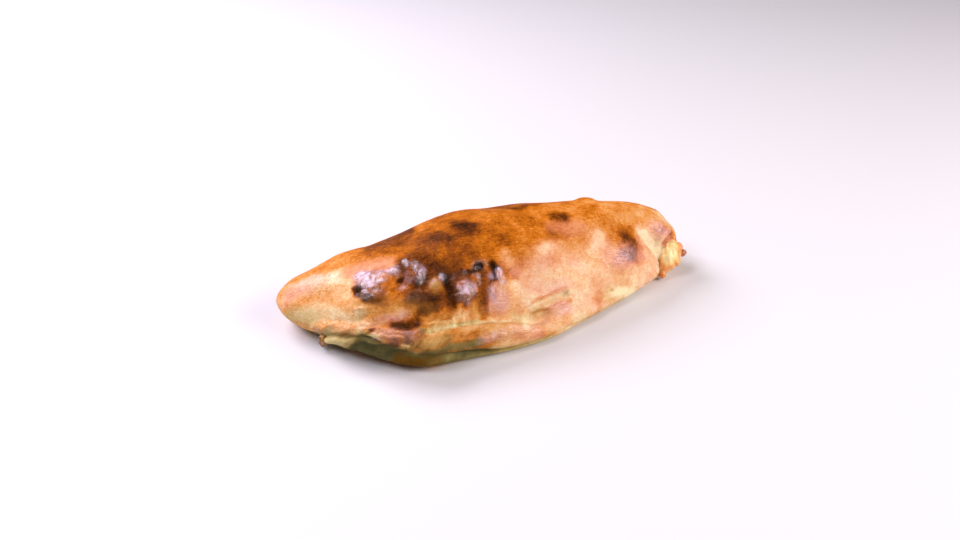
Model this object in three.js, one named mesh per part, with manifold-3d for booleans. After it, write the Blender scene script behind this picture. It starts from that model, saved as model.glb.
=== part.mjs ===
// A baked calzone: a folded half-moon of pizza dough with a tucked seam along its
// near side, and a little cheese that has run out of the seam at two places.
// Millimetres, +Z up, +X along the length, the tucked seam on the -Y side.

import * as THREE from 'three';
import { mergeVertices } from 'three/addons/utils/BufferGeometryUtils.js';
import Module from 'manifold-3d';

// ---- Driving dimensions -------------------------------------------------------

const HALF_LENGTH = 141;      // the crust is 282 mm from tip to tip
const TIP_ROUND = 15;         // length over which each end closes to a point
const TIP_RINGS = 7;          // rings of vertices in each rounded end
const BODY_RINGS = 84;        // rings of vertices between the ends
const BELLY_HEIGHT = 0.45;    // height of the tips, as a share of the crest there
const TO_MIDDLE = [-1.2, 5.5]; // brings the middle of the footprint onto the origin
const CONTACT_GAP = 0.4;      // clearance between the cheese and its socket
const SOFT_HEIGHT = 8;        // the relief fades out this far above the base
const BLEND = 3;              // neighbours each way that a vertex takes its normal from

// The crust's outline, read at places along its length. near and far are its two
// sides, crest its height, lip the top of the lower dough layer, fold the top of the
// rolled rim, lift the clearance under the raised tip, and tuck how far in from the
// near side the flat base begins. rim is how far the rolled rim stands out from the
// wall: 0 is a plain wall and 1 a full roll.
const STATIONS = [
  { x: -141, near: 4, far: 33, crest: 27.5, lip: 3, fold: 16, lift: 8, tuck: 10, rim: 0 },
  { x: -124, near: -11, far: 39, crest: 32, lip: 6, fold: 16, lift: 5, tuck: 14, rim: 0 },
  { x: -108, near: -33, far: 44, crest: 40.5, lip: 14, fold: 22, lift: 2, tuck: 19, rim: 0.45 },
  { x: -88, near: -55, far: 49, crest: 48, lip: 20, fold: 29, lift: 0, tuck: 19, rim: 0.6 },
  { x: -62, near: -67, far: 54, crest: 54, lip: 17, fold: 29, lift: 0, tuck: 12, rim: 0.8 },
  { x: -36, near: -62, far: 57, crest: 61.5, lip: 9, fold: 25, lift: 0, tuck: 8, rim: 1 },
  { x: -8, near: -58, far: 57, crest: 65.5, lip: 4.5, fold: 20, lift: 0, tuck: 8, rim: 1 },
  { x: 22, near: -52, far: 56, crest: 64.5, lip: 4, fold: 11, lift: 0, tuck: 8, rim: 0.7 },
  { x: 58, near: -35, far: 54, crest: 60, lip: 4, fold: 11.5, lift: 0, tuck: 8, rim: 0.15 },
  { x: 95, near: -15, far: 50, crest: 54.2, lip: 4, fold: 12.5, lift: 0, tuck: 7, rim: 0 },
  { x: 124, near: 3, far: 46, crest: 42.8, lip: 4, fold: 12, lift: 0, tuck: 5, rim: 0 },
  { x: 141, near: 3, far: 40, crest: 31, lip: 4, fold: 12, lift: 0, tuck: 4, rim: 0 },
];

// How many steps each stretch of the section gets, from the middle of the base out
// to the near side, over the top and back: fine on the rim, coarse underneath.
const SECTION_STEPS = [1, 1, 2, 2, 2, 3, 3, 3, 4, 6, 6, 5, 4, 4, 3, 2, 1, 1, 1];
const CREST_CONTROL = 12;

// Relief on the skin. A place on it is [x, g]: x along the length, and g measured
// over the skin from the crest, positive down the near side.
// Bumps: half sizes along and across, turned by turn degrees; flat is the share of
// the half size that stays level.
const BUMPS = [
  { name: 'scorched blister', at: [-83, 31], half: [13, 15], turn: 20, rise: 2.4, flat: 0.4 },
  { name: 'knob by it', at: [-69, 27], half: [7, 9], turn: 0, rise: 1.6, flat: 0.1 },
  { name: 'brown blister', at: [-58, 31], half: [10, 17], turn: 15, rise: 2.4, flat: 0.2 },
  { name: 'pale bubble', at: [-49, 47], half: [6, 7], turn: 0, rise: 1.6, flat: 0.2 },
  { name: 'big blister', at: [-31, 57], half: [12, 14], turn: 0, rise: 2.8, flat: 0.2 },
  { name: 'right blister', at: [-7, 61], half: [13, 24], turn: 0, rise: 2.2, flat: 0.1 },
  { name: 'burst bubble', at: [-19, 46], half: [7, 6], turn: 0, rise: -1.8, flat: 0.1 },
  { name: 'hollow on the crest', at: [24, 3], half: [16, 9], turn: 0, rise: -1.6, flat: 0 },
  { name: 'bubble on the crest', at: [73, -8], half: [11, 9], turn: 0, rise: 2, flat: 0.2 },
  { name: 'belly swelling', at: [86, 43], half: [19, 20], turn: -30, rise: 3.6, flat: 0.1 },
  { name: 'end swelling', at: [123, 19], half: [12, 12], turn: 0, rise: 2.5, flat: 0.2 },
  { name: 'hollow by the rim', at: [16, 82], half: [12, 6.5], turn: -10, rise: -2.8, flat: 0.3 },
  { name: 'bump by the hollow', at: [34, 79], half: [11, 7], turn: -10, rise: 1.6, flat: 0.2 },
  { name: 'dent over the tuck', at: [-93, 50], half: [7, 4], turn: 0, rise: -1.5, flat: 0 },
  { name: 'hollow behind the rim', at: [-68, 63], half: [14, 8], turn: -4, rise: -2, flat: 0 },
];

// Folds: a ridge, or with a negative rise a groove, that follows a path over the
// skin. half is its half width.
const FOLDS = [
  { name: 'rim pleat', path: [[-70, 75], [-60, 69], [-48, 67]], half: 6, rise: 1.5 },
  { name: 'upper dent', path: [[10, 77], [24, 72], [38, 68]], half: 3, rise: -1.8 },
  { name: 'its ridge', path: [[12, 82], [26, 77], [40, 73]], half: 3.5, rise: 1.8 },
  { name: 'scorched split', path: [[-12, 44], [-12, 50], [-14, 55]], half: 5, rise: -1.6 },
  { name: 'valley', path: [[-18, 56], [-19, 65], [-21, 74]], half: 6, rise: -1.4 },
  { name: 'cleft', path: [[-41, 47], [-42, 56], [-39, 65]], half: 6, rise: -1.5 },
  { name: 'end valley', path: [[103, 25], [109, 31], [117, 37], [121, 42]], half: 9, rise: -2.5 },
  { name: 'mouth lip', path: [[122, 27], [126, 21], [131, 14], [136, 7]], half: 5, rise: 2.2 },
  { name: 'tuck, first', path: [[-115, 55], [-107, 61], [-100, 69]], half: 6, rise: 3 },
  { name: 'tuck, second', path: [[-95, 74], [-89, 82]], half: 5, rise: 1.8 },
  { name: 'tuck, third', path: [[-84, 86], [-76, 92]], half: 5, rise: 1.8 },
];

// Cheese that has run out at the right-hand end: a core and the lobes that swell out
// of it. to is where a lobe's tip lies from the core's middle, tight how narrow it is.
const OOZE = {
  middle: [129.5, 12, 15.5],
  core: 7.5,
  lobes: [
    { name: 'root inside the seam', to: [-5, 9, 1], tight: 3 },
    { name: 'outer lobe', to: [10, -2.5, 5], tight: 7 },
    { name: 'lower lobe', to: [6.5, -8.5, -5], tight: 8 },
    { name: 'front', to: [-2, -10.5, 2.5], tight: 4 },
    { name: 'top', to: [1.5, -3, 9.5], tight: 6 },
    { name: 'foot', to: [-5.8, -9.6, -9.4], tight: 7 },
  ],
};
const OOZE_DROP = { middle: [123.2, 1.6, 4.6], half: [2.6, 2.6, 3.2] };
const OOZE_CRUMB = { middle: [140.2, 8.2, 15.4], half: [3.2, 2.2, 2.6] };
const DRIP = { middle: [-116.6, -19.5, 6.7], half: [3.3, 3.3, 4.4] };

// ---- Shared small functions -----------------------------------------------------

const mix = (a, b, share) => a + (b - a) * share;
const smooth = (t) => {
  const u = Math.min(Math.max(t, 0), 1);
  return u * u * (3 - 2 * u);
};

// A station value at x, on a cubic curve through the rows.
function along(key, x) {
  const rows = STATIONS;
  const slope = (i) => {
    const a = rows[Math.max(i - 1, 0)];
    const b = rows[Math.min(i + 1, rows.length - 1)];
    return (b[key] - a[key]) / (b.x - a.x);
  };
  let i = 0;
  while (i < rows.length - 2 && x > rows[i + 1].x) i += 1;
  const [a, b] = [rows[i], rows[i + 1]];
  const h = b.x - a.x;
  const t = (x - a.x) / h;
  return (1 + 2 * t) * (1 - t) ** 2 * a[key] + t * (1 - t) ** 2 * h * slope(i)
    + t * t * (3 - 2 * t) * b[key] + t * t * (t - 1) * h * slope(i + 1);
}

// ---- The crust ------------------------------------------------------------------

// Where the rings stand: bunched in the rounded ends, even between them.
function ringPlaces() {
  const places = [];
  for (let i = 1; i <= TIP_RINGS; i += 1) {
    places.push(-HALF_LENGTH + TIP_ROUND * (1 - Math.cos((i / TIP_RINGS) * Math.PI / 2)));
  }
  const start = -HALF_LENGTH + TIP_ROUND;
  for (let i = 1; i < BODY_RINGS; i += 1) places.push(mix(start, -start, i / BODY_RINGS));
  return [...places, ...places.slice(0, TIP_RINGS).reverse().map((x) => -x)];
}

// How far the section has opened at x: 0 at a tip, 1 once past its rounding.
function opening(x) {
  const inset = Math.min(1, (HALF_LENGTH - Math.abs(x)) / TIP_ROUND);
  return Math.sqrt(1 - (1 - inset) ** 2);
}

const liftAt = (x) => Math.max(0, along('lift', x));

// The closed curve across the dough at x, through 19 controls [y, z].
function sectionCurve(x) {
  const [near, far, h] = [along('near', x), along('far', x), along('crest', x)];
  const [lip, fold] = [along('lip', x), along('fold', x)];
  const [lift, rim, tuck] = [liftAt(x), along('rim', x), along('tuck', x)];
  const [c, w] = [(near + far) / 2, (far - near) / 2];
  const either = (plain, rolled) => mix(plain, rolled, rim);
  const controls = [
    [c, lift],                                                      // middle of the base
    [near + mix(tuck, w, 0.4), lift],
    [near + tuck, lift],                                            // near edge of the base
    [near + 0.28 * tuck, lift + 0.5 * lip],                         // lower dough layer
    [near + either(0.02 * w, 4.2), lift + 0.92 * lip],              // groove under the lip
    [near + 0.6 * rim, lift + lip + either(1.5, 2)],                // lip of the rolled rim
    [near, mix(lift + lip, fold, 0.5) + 1],
    [near + either(0.03 * w, 4), fold + rim],                       // top of the rim
    [near + either(0.09 * w, 9.5), fold + either(0.17 * (h - fold), 0.2)], // crease behind
    [near + either(0.26, 0.31) * w, mix(fold, h, either(0.47, 0.42))],
    [near + 0.53 * w, 0.845 * h],                                   // shoulder
    [c - 0.1 * w, 0.985 * h],
    [c + 0.18 * w, h],                                              // crest
    [c + 0.55 * w, 0.9 * h],
    [c + 0.83 * w, 0.66 * h],
    [c + 0.99 * w, 0.34 * h],                                       // folded far side
    [c + 0.95 * w, 0.1 * h + lift],
    [c + 0.8 * w, lift],                                            // far edge of the base
    [c + 0.45 * w, lift],
  ].map(([y, z]) => new THREE.Vector3(0, y, z));
  const curve = new THREE.CatmullRomCurve3(controls, true, 'centripetal');
  return { curve, count: controls.length, middle: [c, mix(lift, h, BELLY_HEIGHT)], lift };
}

// One ring of the smooth dough at x, with g, the distance over the skin, and soft,
// which is 0 on the flat base, where no relief may go.
function smoothRing(x) {
  const { curve, count, middle, lift } = sectionCurve(x);
  const open = opening(x);
  const points = [];
  let crest = 0;
  SECTION_STEPS.forEach((steps, control) => {
    if (control === CREST_CONTROL) crest = points.length;
    for (let i = 0; i < steps; i += 1) {
      const p = curve.getPoint((control + i / steps) / count);
      const soft = smooth((p.z - lift) / SOFT_HEIGHT);
      p.z = Math.max(p.z, lift);
      p.set(x, mix(middle[0], p.y, open), mix(middle[1], p.z, open));
      points.push({ p, soft });
    }
  });
  const run = [0];
  points.slice(1).forEach(({ p }, i) => run.push(run[i] + p.distanceTo(points[i].p)));
  const total = run[run.length - 1] + points[0].p.distanceTo(points[points.length - 1].p);
  points.forEach((point, i) => {
    const g = run[crest] - run[i];
    point.g = g < -total / 2 ? g + total : g;
  });
  return points;
}

function bumpRise({ at, half, turn, rise, flat }, x, g) {
  const angle = THREE.MathUtils.degToRad(turn);
  const [dx, dg] = [x - at[0], g - at[1]];
  const u = (dx * Math.cos(angle) + dg * Math.sin(angle)) / half[0];
  const v = (dg * Math.cos(angle) - dx * Math.sin(angle)) / half[1];
  return rise * smooth((1 - Math.hypot(u, v)) / (1 - flat));
}

function foldRise({ path, half, rise }, x, g) {
  let nearest = Infinity;
  for (let i = 0; i + 1 < path.length; i += 1) {
    const [[ax, ag], [bx, bg]] = [path[i], path[i + 1]];
    const [ex, eg] = [bx - ax, bg - ag];
    const t = ((x - ax) * ex + (g - ag) * eg) / (ex * ex + eg * eg);
    const u = Math.min(Math.max(t, 0), 1);
    nearest = Math.min(nearest, Math.hypot(x - ax - u * ex, g - ag - u * eg));
  }
  return rise * smooth(1 - nearest / half);
}

// Gentle unevenness of hand-shaped dough.
function swell(x, g) {
  return 0.55 * Math.sin(x / 11 + 1.3) * Math.sin(g / 13 + 0.4)
    + 0.4 * Math.sin(x / 6.1 - g / 9 + 2)
    + 0.3 * Math.sin(x / 17 + g / 5.5);
}

function relief(x, g) {
  const bumps = BUMPS.reduce((sum, bump) => sum + bumpRise(bump, x, g), 0);
  const folds = FOLDS.reduce((sum, fold) => sum + foldRise(fold, x, g), 0);
  return bumps + folds + swell(x, g);
}

// The rings moved out or in along their normals, which are averaged over neighbours so
// that creases stay open, and closed at both tips.
function crustGeometry() {
  const rings = ringPlaces().map(smoothRing);
  const last = rings.length - 1;
  const around = rings[0].length;
  const tips = [rings[0], rings[last]].map((ring, i) => {
    const { middle } = sectionCurve(i === 0 ? -HALF_LENGTH : HALF_LENGTH);
    return new THREE.Vector3(i === 0 ? -HALF_LENGTH : HALF_LENGTH, ...middle);
  });
  const at = (i, j) => {
    if (i < 0) return tips[0];
    return i > last ? tips[1] : rings[i][(j + around) % around].p;
  };
  const normal = (i, j) => {
    const lengthwise = new THREE.Vector3().subVectors(at(i + 1, j), at(i - 1, j));
    const across = new THREE.Vector3().subVectors(at(i, j + 1), at(i, j - 1));
    return lengthwise.cross(across).normalize();
  };
  const positions = [];
  rings.forEach((ring, i) => ring.forEach(({ p, g, soft }, j) => {
    const out = new THREE.Vector3();
    for (let k = -BLEND; k <= BLEND; k += 1) out.add(normal(i, (j + k + around) % around));
    const rise = soft * opening(p.x) * relief(p.x, g);
    const moved = p.clone().addScaledVector(out.normalize(), rise);
    positions.push(moved.x, moved.y, Math.max(moved.z, liftAt(p.x)));
  }));
  tips.forEach((tip) => positions.push(tip.x, tip.y, tip.z));

  const index = [];
  const [leftTip, rightTip] = [rings.length * around, rings.length * around + 1];
  for (let j = 0; j < around; j += 1) {
    const k = (j + 1) % around;
    index.push(leftTip, j, k);
    for (let i = 0; i < last; i += 1) {
      const [a, b] = [i * around + j, i * around + k];
      index.push(a, a + around, b, b, a + around, b + around);
    }
    index.push(rightTip, last * around + k, last * around + j);
  }
  const geometry = new THREE.BufferGeometry();
  geometry.setAttribute('position', new THREE.Float32BufferAttribute(positions, 3));
  geometry.setIndex(index);
  return geometry;
}

// ---- The cheese -----------------------------------------------------------------

// A lumpy blob: a ball whose radius grows towards each lobe. grow adds clearance.
function blobGeometry({ middle, core, lobes }, grow) {
  const ball = new THREE.SphereGeometry(1, 28, 18);
  const position = ball.getAttribute('position');
  const tips = lobes.map(({ to, tight }) => {
    const tip = new THREE.Vector3(...to);
    return { rise: tip.length() - core, way: tip.clone().normalize(), tight };
  });
  for (let i = 0; i < position.count; i += 1) {
    const way = new THREE.Vector3().fromBufferAttribute(position, i).normalize();
    const rise = (lobe) => lobe.rise * Math.exp(lobe.tight * (way.dot(lobe.way) - 1));
    const radius = tips.reduce((sum, lobe) => sum + rise(lobe), core) + grow;
    position.setXYZ(i, ...way.multiplyScalar(radius).toArray());
  }
  return ball.translate(...middle);
}

function beadGeometry({ middle, half }, grow) {
  const ball = new THREE.SphereGeometry(1, 12, 8);
  return ball.scale(...half.map((size) => size + grow)).translate(...middle);
}

// ---- Joining and cutting ----------------------------------------------------------

const manifold = await Module();
manifold.setup();

function toSolid(geometry) {
  const bare = geometry.clone();
  bare.deleteAttribute('normal');
  bare.deleteAttribute('uv');
  const merged = mergeVertices(bare, 1e-4);
  return new manifold.Manifold(new manifold.Mesh({
    numProp: 3,
    vertProperties: new Float32Array(merged.getAttribute('position').array),
    triVerts: new Uint32Array(merged.getIndex().array),
  }));
}

function toGeometry(solid) {
  const mesh = solid.getMesh();
  const geometry = new THREE.BufferGeometry();
  geometry.setAttribute('position', new THREE.BufferAttribute(mesh.vertProperties, 3));
  geometry.setIndex(new THREE.BufferAttribute(mesh.triVerts, 1));
  geometry.computeVertexNormals();
  return geometry;
}

function oozeSolid(grow) {
  return toSolid(blobGeometry(OOZE, grow))
    .add(toSolid(beadGeometry(OOZE_DROP, grow)))
    .add(toSolid(beadGeometry(OOZE_CRUMB, grow)));
}

// ---- The parts --------------------------------------------------------------------

function piece(name, geometry, colour, roughness) {
  const material = new THREE.MeshStandardMaterial({ color: colour, roughness, metalness: 0 });
  const mesh = new THREE.Mesh(geometry, material);
  mesh.name = name;
  mesh.position.set(...TO_MIDDLE, 0);
  return mesh;
}

const drip = toSolid(beadGeometry(DRIP, 0));
const crust = toSolid(crustGeometry())
  .subtract(oozeSolid(CONTACT_GAP))
  .subtract(toSolid(beadGeometry(DRIP, CONTACT_GAP)));

const calzone = new THREE.Group();
calzone.add(
  piece('crust', toGeometry(crust), 0xd98b45, 0.45),
  piece('cheese_ooze', toGeometry(oozeSolid(0)), 0xf2cf7a, 0.35),
  piece('cheese_drip', toGeometry(drip), 0xc98a2e, 0.2),
);

export default calzone;
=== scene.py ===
"""A baked calzone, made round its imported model: skin, cheese, light and camera.

Each section works in millimetres in the part's own frame, and its mesh is turned
into metres as it is made.
"""
import math

import bpy
import numpy as np
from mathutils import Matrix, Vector


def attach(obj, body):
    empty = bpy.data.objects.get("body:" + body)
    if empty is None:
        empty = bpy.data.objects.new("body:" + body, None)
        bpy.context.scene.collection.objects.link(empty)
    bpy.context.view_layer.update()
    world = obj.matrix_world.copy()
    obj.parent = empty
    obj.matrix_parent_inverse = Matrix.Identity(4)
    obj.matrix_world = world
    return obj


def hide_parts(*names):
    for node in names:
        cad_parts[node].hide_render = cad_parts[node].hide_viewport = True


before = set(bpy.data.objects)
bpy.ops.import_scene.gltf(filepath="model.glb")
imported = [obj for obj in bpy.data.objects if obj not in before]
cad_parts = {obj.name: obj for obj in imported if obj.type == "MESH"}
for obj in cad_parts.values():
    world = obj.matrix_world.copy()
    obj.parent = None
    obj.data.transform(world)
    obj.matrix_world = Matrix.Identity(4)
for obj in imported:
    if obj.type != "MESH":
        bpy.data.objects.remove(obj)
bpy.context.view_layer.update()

scene = bpy.context.scene

# ---- Crust: its form ------------------------------------------------------------
# One round of pizza dough folded over the filling and rolled shut along the near
# side. The section is a closed curve through 19 controls, read at places along the
# length, and hand work and oven leave relief on the skin.

METRES = 0.001
TO_MIDDLE = np.array([-1.2, 5.5, 0.0])
HALF_LENGTH = 141.0
TIP_ROUND = 15.0
TIP_RINGS = 22
BODY_RINGS = 306
BELLY_HEIGHT = 0.45
SOFT_HEIGHT = 8.0
CREST_CONTROL = 12
SECTION_STEPS = [3, 4, 9, 7, 8, 11, 14, 10, 22, 28, 34, 24, 26, 20, 18, 12, 7, 4, 3]

# near and far are the two sides, crest the height, lip the top of the lower layer,
# fold the top of the rolled rim, lift the clearance under the raised tip, tuck how far
# in the flat base begins, and rim how far the roll stands out from the wall.
STATION_NAMES = ("x", "near", "far", "crest", "lip", "fold", "lift", "tuck", "rim")
STATIONS = dict(zip(STATION_NAMES, np.array([
    (-141, 4, 33, 27.5, 3, 16, 8, 10, 0),
    (-124, -11, 39, 32, 6, 16, 5, 14, 0),
    (-108, -33, 44, 40.5, 14, 22, 2, 19, 0.45),
    (-88, -55, 49, 48, 20, 29, 0, 19, 0.6),
    (-62, -67, 54, 54, 17, 29, 0, 12, 0.8),
    (-36, -62, 57, 61.5, 9, 25, 0, 8, 1),
    (-8, -58, 57, 65.5, 4.5, 20, 0, 8, 1),
    (22, -52, 56, 64.5, 4, 11, 0, 8, 0.7),
    (58, -35, 54, 60, 4, 11.5, 0, 8, 0.15),
    (95, -15, 50, 54.2, 4, 12.5, 0, 7, 0),
    (124, 3, 46, 42.8, 4, 12, 0, 5, 0),
    (141, 3, 40, 31, 4, 12, 0, 4, 0),
], dtype=float).T))


def mix(a, b, share):
    return a + (b - a) * share


def smooth(t):
    u = np.clip(t, 0, 1)
    return u * u * (3 - 2 * u)


def along(name, x):
    """A station value at x, on a cubic curve through the rows."""
    at, value = STATIONS["x"], STATIONS[name]
    above = np.minimum(np.arange(len(at)) + 1, len(at) - 1)
    below = np.maximum(np.arange(len(at)) - 1, 0)
    slope = (value[above] - value[below]) / (at[above] - at[below])
    i = np.clip(np.searchsorted(at, x) - 1, 0, len(at) - 2)
    h = at[i + 1] - at[i]
    t = (x - at[i]) / h
    start = (1 + 2 * t) * (1 - t) ** 2 * value[i] + t * (1 - t) ** 2 * h * slope[i]
    return start + t * t * (3 - 2 * t) * value[i + 1] + t * t * (t - 1) * h * slope[i + 1]


def ring_places():
    """Bunched in the rounded ends, even between them."""
    turn = np.arange(1, TIP_RINGS + 1) / TIP_RINGS * math.pi / 2
    end = -HALF_LENGTH + TIP_ROUND * (1 - np.cos(turn))
    body = np.linspace(end[-1], -end[-1], BODY_RINGS + 1)[1:-1]
    return np.concatenate([end, body, -end[::-1]])


def section_controls(x):
    near, far, h, lip, fold = (along(n, x) for n in ("near", "far", "crest", "lip", "fold"))
    lift, tuck, rim = np.maximum(along("lift", x), 0), along("tuck", x), along("rim", x)
    c, w = (near + far) / 2, (far - near) / 2

    def either(plain, rolled):
        return mix(plain, rolled, rim)

    side = [
        (c, lift),
        (near + mix(tuck, w, 0.4), lift),
        (near + tuck, lift),
        (near + 0.28 * tuck, lift + 0.5 * lip),
        (near + either(0.02 * w, 4.2), lift + 0.92 * lip),
        (near + 0.6 * rim, lift + lip + either(1.5, 2)),
        (near, mix(lift + lip, fold, 0.5) + 1),
        (near + either(0.03 * w, 4), fold + rim),
        (near + either(0.09 * w, 9.5), fold + either(0.17 * (h - fold), 0.2)),
        (near + either(0.26, 0.31) * w, mix(fold, h, either(0.47, 0.42))),
        (near + 0.53 * w, 0.845 * h),
        (c - 0.1 * w, 0.985 * h),
        (c + 0.18 * w, h),
        (c + 0.55 * w, 0.9 * h),
        (c + 0.83 * w, 0.66 * h),
        (c + 0.99 * w, 0.34 * h),
        (c + 0.95 * w, 0.1 * h + lift),
        (c + 0.8 * w, lift),
        (c + 0.45 * w, lift),
    ]
    return np.array(side), (c, mix(lift, h, BELLY_HEIGHT)), lift


def closed_curve(controls, steps):
    """A centripetal Catmull-Rom curve through the controls, round and back again."""
    count = len(controls)
    rows = []
    for k, step in enumerate(steps):
        a, b, c, d = (controls[(k + i) % count] for i in (-1, 0, 1, 2))
        ab, bc, cd = (np.sqrt(np.linalg.norm(q - p, axis=0)) for p, q in ((a, b), (b, c), (c, d)))
        leave = ((b - a) / ab - (c - a) / (ab + bc) + (c - b) / bc) * bc
        arrive = ((c - b) / bc - (d - b) / (bc + cd) + (d - c) / cd) * bc
        t = (np.arange(step) / step)[:, None, None]
        bend = (3 * (c - b) - 2 * leave - arrive) * t ** 2
        rows.append(b + leave * t + bend + (2 * (b - c) + leave + arrive) * t ** 3)
    return np.concatenate(rows)


x_rings = ring_places()
controls, (middle_y, middle_z), lift = section_controls(x_rings)
curve = closed_curve(controls, SECTION_STEPS)
inset = np.minimum(1, (HALF_LENGTH - abs(x_rings)) / TIP_ROUND)
opening = np.sqrt(1 - (1 - inset) ** 2)
soft = smooth((curve[:, 1] - lift) / SOFT_HEIGHT) * opening
dough = np.stack([
    np.broadcast_to(x_rings, curve[:, 0].shape),
    mix(middle_y, curve[:, 0], opening),
    mix(middle_z, np.maximum(curve[:, 1], lift), opening),
], axis=-1)

# A place on the skin is x along the length and g over the skin from the crest,
# positive down the near side.
step_length = np.linalg.norm(np.roll(dough, -1, axis=0) - dough, axis=-1)
run = np.cumsum(step_length, axis=0) - step_length
total = step_length.sum(axis=0)
g = run[sum(SECTION_STEPS[:CREST_CONTROL])] - run
g = np.where(g < -total / 2, g + total, g)
x = dough[..., 0]


def noise(x, g, cell, seed, octaves=3):
    """Smooth random values from about -1 to 1; the coarsest lumps are cell mm apart."""
    total_value, weight = 0, 0
    for octave in range(octaves):
        size, share = cell / 2 ** octave, 0.5 ** octave
        lattice = np.random.default_rng(seed + octave).uniform(-1, 1, (1024, 1024))
        u, v = x / size + 512, g / size + 512
        i, j = np.floor(u).astype(int), np.floor(v).astype(int)
        fu, fv = smooth(u - i), smooth(v - j)
        i, j = i % 1023, j % 1023
        low = mix(lattice[i, j], lattice[i + 1, j], fu)
        high = mix(lattice[i, j + 1], lattice[i + 1, j + 1], fu)
        total_value = total_value + share * mix(low, high, fv)
        weight += share * share
    return total_value / math.sqrt(weight)


def in_oval(x, g, at, half, turn=0):
    """1 in the middle of an oval, 0 on its edge and less outside."""
    angle = math.radians(turn)
    dx, dg = x - at[0], g - at[1]
    u = (dx * math.cos(angle) + dg * math.sin(angle)) / half[0]
    v = (dg * math.cos(angle) - dx * math.sin(angle)) / half[1]
    return 1 - np.hypot(u, v)


def by_path(x, g, path, half):
    """1 on a path, 0 at half mm from it and less beyond."""
    nearest = np.full(np.shape(x), np.inf)
    for (ax, ag), (bx, bg) in zip(path, path[1:]):
        ex, eg = bx - ax, bg - ag
        t = np.clip(((x - ax) * ex + (g - ag) * eg) / (ex * ex + eg * eg), 0, 1)
        nearest = np.minimum(nearest, np.hypot(x - ax - t * ex, g - ag - t * eg))
    return 1 - nearest / half


def spot(x, g, at, half, turn=0, flat=0):
    return smooth(in_oval(x, g, at, half, turn) / (1 - flat))


def stroke(x, g, path, half, flat=0):
    return smooth(by_path(x, g, path, half) / (1 - flat))


# The main relief: where, half sizes, turn in degrees, rise, level share of the size.
BUMPS = [
    ((-83, 31), (13, 15), 20, 2.4, 0.4),  # scorched blister
    ((-69, 27), (7, 9), 0, 1.6, 0.1),  # knob by it
    ((-58, 31), (10, 17), 15, 2.4, 0.2),  # brown blister
    ((-49, 47), (6, 7), 0, 1.6, 0.2),  # pale bubble
    ((-31, 57), (12, 14), 0, 2.8, 0.2),  # big blister
    ((-7, 61), (13, 24), 0, 2.2, 0.1),  # right blister
    ((-19, 46), (7, 6), 0, -1.8, 0.1),  # burst bubble
    ((24, 3), (16, 9), 0, -1.6, 0),  # hollow on the crest
    ((73, -8), (11, 9), 0, 2, 0.2),  # bubble on the crest
    ((86, 43), (19, 20), -30, 3.6, 0.1),  # belly swelling
    ((123, 19), (12, 12), 0, 2.5, 0.2),  # end swelling
    ((16, 82), (12, 6.5), -10, -2.8, 0.3),  # hollow by the rim
    ((34, 79), (11, 7), -10, 1.6, 0.2),  # bump by the hollow
    ((-93, 50), (7, 4), 0, -1.5, 0),  # dent over the tuck
    ((-68, 63), (14, 8), -4, -2, 0),  # hollow behind the rim
]
FOLDS = [
    ([(-70, 75), (-60, 69), (-48, 67)], 6, 1.5),  # rim pleat
    ([(10, 77), (24, 72), (38, 68)], 3, -1.8),  # upper dent
    ([(12, 82), (26, 77), (40, 73)], 3.5, 1.8),  # its ridge
    ([(-12, 44), (-12, 50), (-14, 55)], 5, -1.6),  # scorched split
    ([(-18, 56), (-19, 65), (-21, 74)], 6, -1.4),  # valley
    ([(-41, 47), (-42, 56), (-39, 65)], 6, -1.5),  # cleft
    ([(103, 25), (109, 31), (117, 37), (121, 42)], 9, -2.5),  # end valley
    ([(122, 27), (126, 21), (131, 14), (136, 7)], 5, 2.2),  # mouth lip
    ([(-115, 55), (-107, 61), (-100, 69)], 6, 3),  # tuck, first
    ([(-95, 74), (-89, 82)], 5, 1.8),  # tuck, second
    ([(-84, 86), (-76, 92)], 5, 1.8),  # tuck, third
]
relief = sum(rise * spot(x, g, at, half, turn, flat) for at, half, turn, rise, flat in BUMPS)
relief = relief + sum(rise * stroke(x, g, path, half) for path, half, rise in FOLDS)
# Gentle unevenness from the hands that rolled it.
relief = relief + 0.55 * np.sin(x / 11 + 1.3) * np.sin(g / 13 + 0.4)
relief = relief + 0.4 * np.sin(x / 6.1 - g / 9 + 2) + 0.3 * np.sin(x / 17 + g / 5.5)

# Finer relief and browning lie on places that wander a little, so that no outline is
# a true oval.
wander_x = x + 1.5 * noise(x, g, 12, 21) + 0.6 * noise(x, g, 3.5, 31)
wander_g = g + 1.5 * noise(x, g, 12, 41) + 0.6 * noise(x, g, 3.5, 51)


def outward(points, blend):
    """Unit normals, averaged over blend neighbours each way across the length."""
    lengthwise = np.gradient(points, axis=1)
    across = np.roll(points, -1, axis=0) - np.roll(points, 1, axis=0)
    out = np.cross(lengthwise, across)
    out /= np.linalg.norm(out, axis=-1, keepdims=True) + 1e-12
    out = sum(np.roll(out, k, axis=0) for k in range(-blend, blend + 1))
    return out / (np.linalg.norm(out, axis=-1, keepdims=True) + 1e-12)


dough = dough + outward(dough, blend=11) * (soft * relief)[..., None]

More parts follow.
